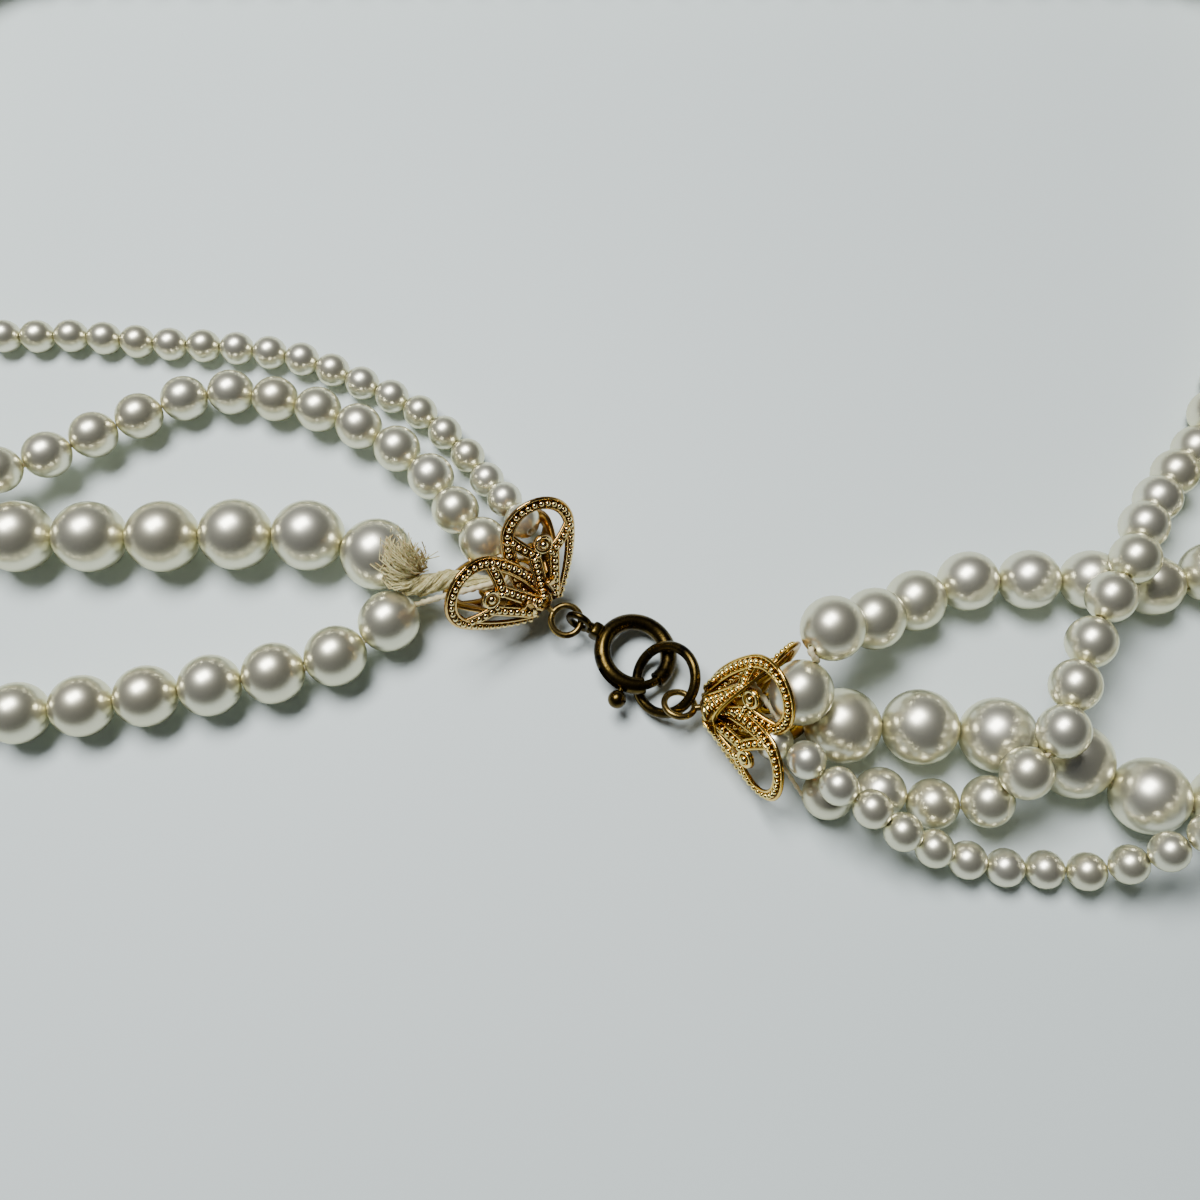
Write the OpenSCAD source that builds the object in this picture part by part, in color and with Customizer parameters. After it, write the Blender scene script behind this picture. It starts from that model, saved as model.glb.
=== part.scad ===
// Four-strand imitation pearl necklace with filigree bead caps and a spring ring clasp.
// It lies closed on a table as one whole loop. Millimetres, +Z up, the table is z = 0,
// the origin is under the middle of the loop and the clasp lies at the front, towards -Y.

/* [Pearls] */
// Diameter of the seed pearls of strand A
pearl_a_d = 3; // [2.5:0.1:3.1]
// Diameter of the small pearls of strand B
pearl_b_d = 4; // [3.4:0.1:4.1]
// Diameter of the large pearls of strand C
pearl_c_d = 6; // [5.2:0.1:6.1]
// Diameter of the medium pearls of strand D
pearl_d_d = 5; // [4.2:0.1:5.1]
// Gap between two neighbouring pearls of a strand
pearl_gap = 0.115; // [0.1:0.005:0.2]
// Diameter of the hole through a pearl
hole_d = 1; // [0.8:0.05:1.2]

/* [Thread] */
// Diameter of the stringing thread
thread_d = 0.4; // [0.3:0.05:0.5]
// Outer diameter of the ring of knots inside a cap
knot_d = 2.8; // [2.4:0.1:2.9]
// Thickness of the ring of knots
knot_h = 1.1; // [0.8:0.1:1.1]
// Thickness of the frayed tuft at its thick end
tuft_d = 2.2; // [1.6:0.1:2.4]

/* [Bead caps] */
// Length of a petal from the apex of the cap to its tip
petal_l = 9.8; // [9:0.1:10.2]
// Width of a petal at its widest
petal_w = 6.2; // [5.6:0.1:6.6]
// Half angle of the cone that the petals are pressed to
cone_angle = 40; // [34:1:46]
// Thickness of the pierced sheet
sheet_t = 0.35; // [0.25:0.05:0.5]
// Height of the beaded rails over the sheet
rail_h = 0.25; // [0.1:0.05:0.4]
// Width of the beaded rails
rail_w = 0.6; // [0.4:0.05:0.8]
// Outer diameter of the scroll ring on a petal
scroll_d = 1.5; // [1.2:0.1:1.8]
// Diameter of the boss at the apex
boss_d = 2.4; // [2:0.1:2.8]

/* [Eye pins] */
// Outer diameter of the eye
eye_d = 3; // [2.6:0.1:3.2]
// Diameter of the pin's wire
pin_d = 0.54; // [0.4:0.02:0.64]
// Diameter of the pin's head inside the cap
pin_head_d = 1; // [1:0.1:1.1]
// Clearance between the pin and what it passes through
pin_gap = 0.14; // [0.1:0.02:0.2]

/* [Spring ring] */
// Outer diameter of the spring ring
ring_d = 7; // [6.8:0.1:7.2]
// Diameter of the spring ring's tube
ring_tube_d = 1.4; // [1.3:0.05:1.5]
// Wall of the tube
ring_wall = 0.2; // [0.15:0.05:0.25]
// Opening angle of the gate
gate_gap = 26; // [24:1:34]
// Angle that the gate slides through when it opens
gate_travel = 34; // [30:1:36]
// Clearance between the gate and the tube
gate_clear = 0.12; // [0.08:0.02:0.16]
// Diameter of the thumb knob
knob_d = 1.5; // [1.2:0.1:1.8]
// Outer diameter of the eyelet
eyelet_d = 2.4; // [2.2:0.1:2.6]
// Diameter of the eyelet's wire
eyelet_wire_d = 0.6; // [0.5:0.05:0.7]

/* [Jump ring] */
// Outer diameter of the jump ring
jump_d = 6.4; // [6.2:0.1:6.6]
// Diameter of the jump ring's wire
jump_wire_d = 0.9; // [0.7:0.05:1]

/* [Hidden] */

gold = "#d9ab4f";
antique_brass = "#6b5426";
pearl = "#ece6da";
thread_cream = "#e8e0ae";

// Routes of the strands, from the first pearl at the left cap round the back to the right cap.
// Each row is x, y and how far the strand is lifted off the table there.
route_a = [
    [-6.5, -24.3, 2.3], [-8.2, -21.8, 1.3], [-10, -19.3, 0.2], [-11.6, -17.1, 0], [-16, -12.8, 0],
    [-21.3, -9.9, 0], [-27, -7.4, 0], [-33, -6.3, 0], [-40, -5.8, 0], [-48, -5, 0], [-54.6, -5, 0],
    [-58.8, -3.6, 0], [-61, 1, 0], [-62.5, 8, 0], [-65, 20, 0], [-67, 31, 0],
    [-64.6, 37, 0], [-57, 39.9, 0], [-40, 40.4, 0], [0, 40.8, 0], [40, 40.4, 0], [57, 39.9, 0],
    [64.6, 37, 0], [67, 31, 0], [65, 20, 0], [64, 8, 0], [63.2, -2, 0], [62, -10, 0], [60, -19, 0],
    [57.6, -28.5, 0], [55.3, -35.4, 1.3], [53.6, -40.2, 4.1], [51.6, -44.2, 6], [49.4, -47, 6.4],
    [46.5, -49.4, 6.2], [43.8, -51, 5.4], [42.2, -51.7, 4.2], [40.1, -52.4, 2.3], [37.6, -52.8, 0.7],
    [34.8, -52.6, 0], [31.7, -52.5, 0], [28.6, -52, 0.4], [25.5, -51.2, 1.6], [22.5, -49.9, 3],
    [20, -48.2, 4], [17.5, -46.6, 4.4], [15.4, -44.6, 4], [13, -42.8, 2.5]];
route_b = [
    [-9.7, -26.2, 1.9], [-11.9, -23.5, 1.2], [-14, -20.3, 0.7], [-17.1, -17.3, 0.5], [-23.8, -13.4, 0.4],
    [-31.4, -11.3, 0], [-35.6, -11.3, 0], [-42.6, -14.9, 0.6], [-46, -16.9, 1], [-48.8, -18.9, 1.8],
    [-51.6, -20.4, 3.2], [-54.5, -19.8, 3.5], [-57.5, -16.5, 3.3], [-59.5, -11, 3.3],
    [-60.8, -4, 3.3], [-62.5, 8, 3.3], [-65, 20, 3.3], [-67, 31, 3.3], [-64.6, 37, 3.3],
    [-57, 39.9, 3.3], [-40, 40.4, 3.3], [0, 40.8, 3.3], [40, 40.4, 3.3], [57, 39.9, 3.3], [64.6, 37, 3.3],
    [67, 31, 3.3], [65, 20, 3.3], [63, 12, 3.2], [61, 5, 2.3], [59, -1, 0.6], [57.2, -6.5, 0],
    [54.6, -12, 0], [52, -16.6, 0], [49.5, -19.2, 1], [47.3, -21.8, 2], [44.9, -24.7, 3.3],
    [43.4, -27.4, 4.8], [41.5, -30.7, 5.3], [39.1, -33.5, 5.2], [37.8, -36.6, 5], [35.8, -40.2, 5.6],
    [34.3, -43.6, 6.1], [31.8, -46.2, 4.6], [29.5, -47.8, 1.2], [25.8, -47.6, 0], [21.9, -46.7, 0],
    [17.8, -46.9, 0], [14.8, -46.2, 0.1]];
route_c = [
    [-18.6, -27, 0], [-24.5, -25.3, 0], [-36.9, -25.4, 0], [-49.3, -25.4, 0], [-55.5, -25.2, 0],
    [-61, -22, 0], [-64.3, -15, 0], [-65.6, -5, 0], [-67.2, 8, 0], [-69.7, 20, 0], [-71.8, 31, 0],
    [-68.2, 40.3, 0], [-57, 44.6, 0], [-40, 45.1, 0], [0, 45.5, 0], [40, 45.1, 0], [57, 44.6, 0],
    [68.2, 40.3, 0], [71.8, 31, 0], [69.8, 20, 0], [68.6, 8, 0], [67.4, -6, 0], [65.7, -20, 0],
    [63.2, -32, 0], [59, -41, 0], [52.5, -46.5, 0], [46.3, -48, 0], [41.7, -46.8, 0],
    [36.8, -44.2, 0], [31.1, -42.3, 0], [25.2, -41.7, 0], [19.2, -41.6, 0]];
route_d = [
    [-17.3, -32.8, 0.2], [-21.7, -35.8, 0], [-26.6, -37.2, 0], [-36.7, -39.1, 0],
    [-47, -40.5, 0], [-54, -40.2, 0], [-61, -37, 0], [-66.8, -31, 0], [-70.4, -22, 0],
    [-71.6, -8, 0], [-73, 8, 0], [-75.5, 20, 0], [-77.7, 31, 0], [-73.4, 44, 0],
    [-57, 50.8, 0], [-40, 51.3, 0], [0, 51.7, 0], [40, 51.3, 0], [57, 50.8, 0],
    [73.4, 44, 0], [77.7, 31, 0], [76.6, 20, 0.5], [74.4, 12.5, 3.2], [71.6, 6.5, 5.6],
    [68.4, 1.5, 6.3], [65, -4.5, 5.9], [62, -9.8, 4.6], [59, -15.4, 3.5], [56, -21, 1.4],
    [53.2, -26, 0], [49.8, -29.1, 0], [45.6, -29.6, 0], [40.7, -29.1, 0], [36, -29.1, 0], [31.1, -29.1, 0],
    [26.4, -30.9, 0.4], [21.6, -33.6, 2.9]];
// The last pearls of strand D sit apart on bare thread
last_pearls_d = [[17.8, -35.3, 8.5], [15.4, -39.9, 6.8]];
// How far the bare thread stands out of such a pearl before it turns
bare_out = 0.35;

// Apex of each cap, then the heading, the rise and the roll of its axis, then where each petal stands
// round the axis and how far it has been bent from it and twisted, beginning with the uppermost one.
left_apex = [-4.06, -31.85, 2.9];
left_turn = [136.5, 13.7, 219];
left_around = [0, 90, 180, 270];
left_spread = [45, 35, 33, 48];
left_twist = [-38, 20, -20, 29];
right_apex = [7.78, -39.97, 2.32];
right_turn = [2, 14.7, 189];
right_around = [0, 74, 180, 294];
right_spread = [34, 50, 24, 26];
right_twist = [18, -28, 0, -18];

// Roll of each eye, its bend down and sideways on the pin, and how far its neck stands out of the apex
left_eye = [82.4, -2.2, -12.7, 0.33];
right_eye = [62, -17.8, 15.3, 0.22];

// Centre of each ring, how far it leans and the heading that it leans to
ring_at = [2.93, -35.25, 1.63];
ring_lean = [12.9, 19];
jump_at = [5.33, -37.56, 2.01];
jump_lean = [34.3, -168.5];

// Angles on the spring ring, seen from above with 0 to the right
gap_from = -78;
knob_at = -112;
eyelet_at = 152.3;
eyelet_neck = 0.62;
eyelet_neck_d = 1;
knob_neck_d = 0.5;

// How far the inside of the tube runs past the knob and past the gate's tip, and the gate's tail
tube_past_knob = 30;
tube_past_tip = 2;
gate_tail = 24;
gate_overlap = 6;

// On a petal: half its width at the apex, how fast its sides part, then the place of the V's foot and
// of the ends of its arms as shares of the length, and how far out they end as a share of the width
petal_neck = 0.35;
petal_sides = 0.53;
v_foot = 0.5;
v_ends = 0.7;
v_spread = 0.44;

// Depths in a cap from its apex: middle of the boss, flat face at its end, knots and pin's head
boss_in = 1.4;
apex_cut = 0.25;
knot_in = 4;
head_in = 4.9;
knot_round = 0.2;

// Angles round a cap's axis, 0 below it and 180 above it, at which each thread leaves the knots
left_exit_b = 225;
left_exit_d = 110;
right_exit_b = 290;
right_exit_c = 340;
right_exit_d = 120;
// Point between two petals of the left cap that the thread of strand D passes
left_mouth = [-13.4, -31.3, 4];

// The tuft: thickness along it, its start beside the first pearl of strand C, its bow and its way in
tuft_shares = [0.5, 0.95, 1, 0.8, 0.62, 0.5, 0.34];
tuft_start = [3.5, -0.8, -0.2];
tuft_bow = [0, -0.2, 0.4];
tuft_exit = 70;
tuft_sides = 10;

curve_steps = 5;
tube_sides = 8;
thread_sides = 6;
tube_pitch = 1.6;
round_fn = 48;

// One point of a smooth curve between b and c, which leaves b along a-c and reaches c along b-d
function unit(v) = v / norm(v);
function between(a, b, c, d, u) =
    let (len = norm(c - b), from = unit(c - a) * len, to = unit(d - b) * len)
    b * (2 * u * u * u - 3 * u * u + 1) + from * (u * u * u - 2 * u * u + u)
    + c * (3 * u * u - 2 * u * u * u) + to * (u * u * u - u * u);

// The whole curve through the points of a route, at the centre of pearls of diameter d
function curve(route, d) =
    let (n = len(route))
    [for (i = [0 : n - 2], k = [0 : curve_steps - 1])
        let (a = route[max(i - 1, 0)], b = route[i], c = route[i + 1], after = route[min(i + 2, n - 1)])
        rest(between(a, b, c, after, k / curve_steps), d),
     rest(route[n - 1], d)];

// A strand never dips into the table
function rest(p, d) = [p[0], p[1], max(p[2], 0) + d / 2];

// First point of the curve that lies at least step from a place
function reach(path, place, i, step) =
    i >= len(path) ? -1 : norm(path[i] - place) >= step ? i : reach(path, place, i + 1, step);

// Point between a and b that lies exactly step from a place
function on_line(a, b, place, step) =
    let (d = b - a, w = a - place, dd = d * d, dw = d * w)
    a + d * (sqrt(dw * dw - dd * (w * w - step * step)) - dw) / dd;

function next_bead(path, bead, step) =
    let (j = reach(path, bead[0], bead[1], step))
    j < 0 ? [bead[0], -1] : [on_line(path[j - 1], path[j], bead[0], step), j];

// Centres of the pearls along a route, each exactly one pitch from the last
function strung(route, d, pitch) =
    let (path = curve(route, d))
    [for (bead = [path[0], 1]; bead[1] > 0; bead = next_bead(path, bead, pitch)) bead[0]];

// Direction of the hole through a pearl
function along(beads, i) = unit(beads[min(i + 1, len(beads) - 1)] - beads[max(i - 1, 0)]);

function heading(turn) = [cos(turn[1]) * cos(turn[0]), cos(turn[1]) * sin(turn[0]), sin(turn[1])];

// Tube through a row of points, with its own radius at each of them
module swept(points, radii, sides) {
    n = len(points);
    function ring(i) =
        let (t = unit(points[min(i + 1, n - 1)] - points[max(i - 1, 0)]),
             u = unit(cross([0, 0, 1], t)), w = cross(t, u))
        [for (s = [0 : sides - 1]) let (angle = s * 360 / sides)
            points[i] + radii[i] * (u * cos(angle) + w * sin(angle))];
    polyhedron(
        points = [for (i = [0 : n - 1]) each ring(i)],
        faces = concat(
            [[for (s = [0 : sides - 1]) s]],
            [for (i = [0 : n - 2], s = [0 : sides - 1])
                let (a = i * sides + s, b = i * sides + (s + 1) % sides)
                each [[a, a + sides, b + sides], [a, b + sides, b]]],
            [[for (s = [sides - 1 : -1 : 0]) (n - 1) * sides + s]]));
}

// Turns +Z to a direction
module aim(v) {
    rotate([0, acos(unit(v)[2]), atan2(v[1], v[0])]) children();
}

// Pearls drilled for the thread
module pearls(beads, d) {
    for (i = [0 : len(beads) - 1])
        translate(beads[i]) aim(along(beads, i))
            difference() {
                sphere(d = d, $fn = round_fn);
                cylinder(d = hole_d, h = d + 1, center = true, $fn = 24);
            }
}

// Where the thread enters and leaves the pearls between two of a strand, at reach from their centres
function drilled(beads, from, to, reach) =
    [for (i = [from : 1 : to]) let (hole = along(beads, i) * reach) each [beads[i] - hole, beads[i] + hole]];

// Thread through the pearls of a strand, the last of which may sit apart, and on to the knots
module strand_thread(beads, d, left_end, right_end, apart = 0) {
    n = len(beads);
    line = concat(left_end, drilled(beads, 0, n - apart - 1, d / 2),
                  drilled(beads, n - apart, n - 1, d / 2 + bare_out), right_end);
    color(thread_cream) swept(line, [for (p = line) thread_d / 2], thread_sides);
}

// Place beside the ring of knots where a thread of radius r leaves, at an angle round the cap's
// axis that is 0 below it and 180 above it
function knot_exit(apex, turn, angle, r) =
    let (below = [cos(turn[0]) * sin(turn[1]), sin(turn[0]) * sin(turn[1]), -cos(turn[1])],
         side = [-sin(turn[0]), cos(turn[0]), 0])
    apex + heading(turn) * (knot_in + knot_h / 2)
    + (below * cos(angle) + side * sin(angle)) * (knot_d / 2 + pearl_gap + r);

module petal_outline(inset) {
    tip_r = petal_w / 2 - inset;
    reach_x = petal_l - petal_w / 2;
    taper = tip_r - petal_neck;
    side_r = (reach_x * reach_x + taper * taper) / (2 * taper);
    translate([reach_x, 0]) circle(r = tip_r, $fn = round_fn);
    intersection() {
        translate([reach_x, tip_r - side_r]) circle(r = side_r, $fn = 2 * round_fn);
        translate([reach_x, side_r - tip_r]) circle(r = side_r, $fn = 2 * round_fn);
        wedge_y = reach_x * petal_sides - inset;
        polygon([[inset * 2, 0], [reach_x, -wedge_y], [reach_x, wedge_y]]);
    }
}

// A bar from a to b
module bar(a, b, w) {
    d = b - a;
    translate(a) rotate(atan2(d[1], d[0])) translate([0, -w / 2]) square([norm(d), w]);
}

// Beaded rail round the petal, the two arms of the V, the stem and the scroll ring
module petal_rails() {
    v_at = petal_l * v_foot;
    arm_x = petal_l * v_ends;
    arm_y = petal_w * v_spread;
    difference() {
        petal_outline(0);
        petal_outline(rail_w);
    }
    intersection() {
        petal_outline(rail_w / 2);
        union() {
            bar([v_at, 0], [arm_x, arm_y], rail_w);
            bar([v_at, 0], [arm_x, -arm_y], rail_w);
            bar([boss_d / 2, 0], [v_at, 0], rail_w * 1.5);
        }
    }
    translate([v_at + scroll_d / 2, 0]) difference() {
        circle(d = scroll_d, $fn = 24);
        circle(d = scroll_d - rail_w * 1.5, $fn = 24);
    }
}

// Cone round the axis of the cap, seen from a petal that lies along +X
module petal_cone(offset_n) {
    rotate([0, 90 + cone_angle, 0])
        translate([0, 0, -offset_n / sin(cone_angle)])
            cylinder(h = petal_l * 1.6, r1 = 0, r2 = petal_l * 1.6 * tan(cone_angle), $fn = round_fn);
}

module petal() {
    difference() {
        intersection() {
            petal_cone(sheet_t + rail_h);
            translate([0, 0, -petal_w / 2]) linear_extrude(height = petal_w) petal_rails();
        }
        petal_cone(0);
    }
}

// Puts a piece on the axis of a cap, with +Z from the apex into the cap
module cap_place(apex, turn) {
    translate(apex) rotate([0, 90 - turn[1], turn[0]]) children();
}

module bead_cap(apex, turn, around, spread, twist) {
    color(gold)
        cap_place(apex, turn) difference() {
            union() {
                translate([0, 0, boss_in]) sphere(d = boss_d, $fn = round_fn);
                for (k = [0 : 3])
                    rotate([0, 0, turn[2] + around[k]]) rotate([0, spread[k] - 90, 0])
                        rotate([180 + twist[k], 0, 0]) petal();
            }
            translate([0, 0, -boss_d]) cylinder(d = pin_d + 2 * pin_gap, h = boss_d * 2 + boss_in, $fn = 24);
            translate([0, 0, -boss_d]) cylinder(d = 2 * boss_d, h = boss_d + apex_cut, $fn = 24);
        }
}

// Wire eye outside the apex, on a pin that ends in a head inside the cap
module eye_pin(apex, turn, eye) {
    eye_r = eye_d / 2 - pin_d / 2;
    color(gold)
        cap_place(apex, turn) {
            translate([0, 0, -eye[3]]) rotate([eye[2], 0, 0]) rotate([0, -eye[1], 0]) rotate([0, 0, eye[0]])
                translate([0, 0, -eye_r]) rotate([90, 0, 0])
                    rotate_extrude($fn = round_fn) translate([eye_r, 0]) circle(d = pin_d, $fn = 16);
            translate([0, 0, -eye[3]]) cylinder(d = pin_d, h = head_in + eye[3], $fn = 16);
            translate([0, 0, head_in]) sphere(d = pin_head_d, $fn = 24);
        }
}

// Threads tied round the pin, in one ring
module knot(apex, turn) {
    hole = pin_d + 2 * pin_gap;
    color(thread_cream)
        cap_place(apex, turn) translate([0, 0, knot_in])
            rotate_extrude($fn = round_fn)
                intersection() {
                    translate([(knot_d + hole) / 4, 0])
                        circle(d = (knot_d - hole) / 2 + knot_round, $fn = 24);
                    translate([hole / 2, -knot_h / 2]) square([(knot_d - hole) / 2, knot_h]);
                }
}

// Puts a ring in its place, leaning towards a heading
module ring_place(at, lean) {
    translate(at) rotate([0, 0, lean[1]]) rotate([0, lean[0], 0]) rotate([0, 0, -lean[1]]) children();
}

// Part of a round bar bent to the ring's radius
module ring_arc(d, from, to) {
    rotate([0, 0, from]) rotate_extrude(angle = to - from, $fn = 2 * round_fn)
        translate([ring_d / 2 - ring_tube_d / 2, 0]) circle(d = d, $fn = 32);
}

bore_d = ring_tube_d - 2 * ring_wall;
gate_d = bore_d - 2 * gate_clear;
ring_r = ring_d / 2 - ring_tube_d / 2;
slot_side = asin((knob_neck_d / 2 + gate_clear) / ring_r);

module spring_ring() {
    eyelet_r = eyelet_d / 2 - eyelet_wire_d / 2;
    eyelet_x = ring_d / 2 + eyelet_d / 2 + eyelet_neck;
    neck_from = ring_r + ring_tube_d / 4;
    color(antique_brass) ring_place(ring_at, ring_lean) {
        difference() {
            union() {
                ring_arc(ring_tube_d, gap_from + gate_gap, gap_from + 360);
                rotate([0, 0, eyelet_at]) translate([neck_from, 0, 0]) rotate([0, 90, 0])
                    cylinder(d = eyelet_neck_d, h = eyelet_x - eyelet_r - neck_from, $fn = 24);
            }
            ring_arc(bore_d, gap_from + gate_gap - 1, gap_from + gate_gap + gate_overlap + tube_past_tip);
            ring_arc(bore_d, knob_at - gate_travel - tube_past_knob, gap_from + 1);
            intersection() {
                ring_arc(ring_tube_d * 2, knob_at - gate_travel - slot_side, knob_at + slot_side);
                rotate_extrude($fn = 2 * round_fn)
                    translate([ring_r, -knob_neck_d / 2 - gate_clear])
                        square([ring_tube_d, knob_neck_d + 2 * gate_clear]);
            }
        }
        rotate([0, 0, eyelet_at]) translate([eyelet_x, 0, 0]) rotate([90, 0, 0])
            rotate_extrude($fn = round_fn) translate([eyelet_r, 0]) circle(d = eyelet_wire_d, $fn = 16);
    }
}

module spring_gate() {
    color(antique_brass) ring_place(ring_at, ring_lean) {
        ring_arc(gate_d, knob_at - gate_tail, gap_from + gate_gap + gate_overlap);
        rotate([0, 0, knob_at]) {
            translate([ring_r, 0, 0]) rotate([0, 90, 0])
                cylinder(d = knob_neck_d, h = ring_tube_d / 2 + knob_d / 2, $fn = 16);
            translate([ring_r + (ring_tube_d + knob_d) / 2 + gate_clear, 0, 0]) sphere(d = knob_d, $fn = 32);
        }
    }
}

module jump_ring() {
    color(antique_brass)
        ring_place(jump_at, jump_lean)
            rotate_extrude($fn = 2 * round_fn)
                translate([jump_d / 2 - jump_wire_d / 2, 0]) circle(d = jump_wire_d, $fn = 24);
}

// Frayed end of the thread of strand C, matted into a tuft that narrows towards the knot
module frayed_thread() {
    last = len(tuft_shares) - 1;
    start = rest(route_c[0], pearl_c_d) + tuft_start;
    finish = knot_exit(left_apex, left_turn, tuft_exit, tuft_shares[last] * tuft_d / 2);
    line = [for (k = [0 : last]) start + (finish - start) * k / last + tuft_bow * sin(k * 180 / last)];
    color(thread_cream) swept(line, [for (share = tuft_shares) share * tuft_d / 2], tuft_sides);
}

// The finest strand is a plain tube of the pearls' diameter
module strand_a() {
    every = strung(route_a, pearl_a_d, tube_pitch * pearl_a_d);
    color(pearl) swept(every, [for (p = every) pearl_a_d / 2], tube_sides);
}

beads_b = strung(route_b, pearl_b_d, pearl_b_d + pearl_gap);
beads_c = strung(route_c, pearl_c_d, pearl_c_d + pearl_gap);
beads_d = concat(strung(route_d, pearl_d_d, pearl_d_d + pearl_gap), last_pearls_d);
left_end_b = [knot_exit(left_apex, left_turn, left_exit_b, thread_d / 2)];
left_end_d = [knot_exit(left_apex, left_turn, left_exit_d, thread_d / 2), left_mouth];
right_end_b = [knot_exit(right_apex, right_turn, right_exit_b, thread_d / 2)];
right_end_c = [knot_exit(right_apex, right_turn, right_exit_c, thread_d / 2)];
right_end_d = [knot_exit(right_apex, right_turn, right_exit_d, thread_d / 2)];

bead_cap(left_apex, left_turn, left_around, left_spread, left_twist);  // left_cap
bead_cap(right_apex, right_turn, right_around, right_spread, right_twist);  // right_cap
eye_pin(left_apex, left_turn, left_eye);  // left_eye_pin
eye_pin(right_apex, right_turn, right_eye);  // right_eye_pin
spring_ring();
spring_gate();
jump_ring();
knot(left_apex, left_turn);  // left_knot
knot(right_apex, right_turn);  // right_knot
frayed_thread();
strand_a();
color(pearl) pearls(beads_b, pearl_b_d);  // strand_b
color(pearl) pearls(beads_c, pearl_c_d);  // strand_c
color(pearl) pearls(beads_d, pearl_d_d);  // strand_d
strand_thread(beads_b, pearl_b_d, left_end_b, right_end_b);  // thread_b
strand_thread(beads_c, pearl_c_d, [], right_end_c);  // thread_c
strand_thread(beads_d, pearl_d_d, left_end_d, right_end_d, 2);  // thread_d
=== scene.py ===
# A necklace of four strings of imitation pearls with pierced gilt bead caps and a brass
# spring ring clasp, lying closed on a pale table. Sizes are in millimetres, turned to metres by mm.
import bpy
import bmesh
import math
import random
from mathutils import Matrix, Vector


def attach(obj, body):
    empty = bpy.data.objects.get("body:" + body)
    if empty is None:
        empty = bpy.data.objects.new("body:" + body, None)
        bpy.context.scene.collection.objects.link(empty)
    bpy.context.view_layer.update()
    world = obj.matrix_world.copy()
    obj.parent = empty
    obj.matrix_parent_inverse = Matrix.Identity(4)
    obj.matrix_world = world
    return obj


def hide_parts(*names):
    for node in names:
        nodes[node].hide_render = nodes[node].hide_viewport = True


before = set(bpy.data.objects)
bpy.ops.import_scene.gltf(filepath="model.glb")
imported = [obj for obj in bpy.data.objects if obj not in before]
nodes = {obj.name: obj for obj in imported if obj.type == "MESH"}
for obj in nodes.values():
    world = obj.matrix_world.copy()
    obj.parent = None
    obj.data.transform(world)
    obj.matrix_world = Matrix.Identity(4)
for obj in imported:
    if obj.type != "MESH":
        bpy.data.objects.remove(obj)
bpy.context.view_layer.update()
mm = 0.001
random.seed(11)

cameraView = {"aim": (0, -30, 0), "distance": 96.4, "elevation": 70.5, "lens": 34, "sensor": 36,
              "clip": (5, 20000)}
studio = {
    "tableSize": 6000, "tableDrop": 0.02, "tableColors": ("#D5E0DE", "#D9E4E2"),
    "keyAt": (-108, 105, 414), "keyAim": (0, -28, 0), "keySize": (265, 180), "keyPower": 3.4,
    "keyColor": "#FCFDFF",
    # the walls and the ceiling meet between these sines of the height above the table
    "walls": "#A5ABA8", "wallFoot": 0.04, "wallTop": 0.25,
    "ceilingLeft": "#484950", "ceilingRight": "#171616", "ceilingSides": (-0.8, 0.7),
}


def hexColor(code):
    # sRGB hex to the linear values that a socket takes
    parts = [int(code[i:i + 2], 16) / 255 for i in (1, 3, 5)]
    return [p / 12.92 if p <= 0.04045 else ((p + 0.055) / 1.055) ** 2.4 for p in parts] + [1]


def place(*numbers):
    # A point given in millimetres
    return Vector(numbers) * mm


def placeCamera():
    turn = math.radians(cameraView["elevation"])
    data = bpy.data.cameras.new("camera")
    data.lens = cameraView["lens"]
    data.sensor_width = cameraView["sensor"]
    data.clip_start, data.clip_end = (reach * mm for reach in cameraView["clip"])
    camera = bpy.data.objects.new("camera", data)
    away = Vector((0, -math.cos(turn), math.sin(turn))) * cameraView["distance"]
    camera.location = (Vector(cameraView["aim"]) + away) * mm
    camera.rotation_euler = (math.pi / 2 - turn, 0, 0)
    bpy.context.scene.collection.objects.link(camera)
    bpy.context.scene.camera = camera


def hangKeyLamp():
    data = bpy.data.lights.new("windowKey", "AREA")
    data.shape = "RECTANGLE"
    data.size, data.size_y = (side * mm for side in studio["keySize"])
    data.energy = studio["keyPower"]
    data.color = hexColor(studio["keyColor"])[:3]
    lamp = bpy.data.objects.new("windowKey", data)
    lamp.location = place(*studio["keyAt"])
    towards = place(*studio["keyAim"]) - lamp.location
    lamp.rotation_euler = towards.to_track_quat("-Z", "Y").to_euler()
    bpy.context.scene.collection.objects.link(lamp)


def addNode(tree, kind, inputs=None, stops=(), **settings):
    # A node with its settings, its inputs set or linked, and the stops of a colour ramp
    node = tree.nodes.new(kind)
    for name, value in settings.items():
        setattr(node, name, value)
    for name, value in (inputs or {}).items():
        if isinstance(value, bpy.types.NodeSocket):
            tree.links.new(value, node.inputs[name])
        else:
            node.inputs[name].default_value = value
    for _ in range(len(stops) - 2):
        node.color_ramp.elements.new(0.5)
    if stops:
        for element, (position, code) in zip(node.color_ramp.elements, stops):
            element.position = position
            element.color = hexColor(code)
    return node


def startMaterial(name, **sockets):
    # A material whose shader has the named sockets set, an underscore standing for a space
    material = bpy.data.materials.new(name)
    material.use_nodes = True
    tree = material.node_tree
    shader = tree.nodes["Principled BSDF"]
    for socket, value in sockets.items():
        shader.inputs[socket.replace("_", " ")].default_value = value
    return material, tree, shader


def patternScale(width):
    # The scale of a noise whose largest blots are that many millimetres wide
    return 1 / (width * mm)


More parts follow.
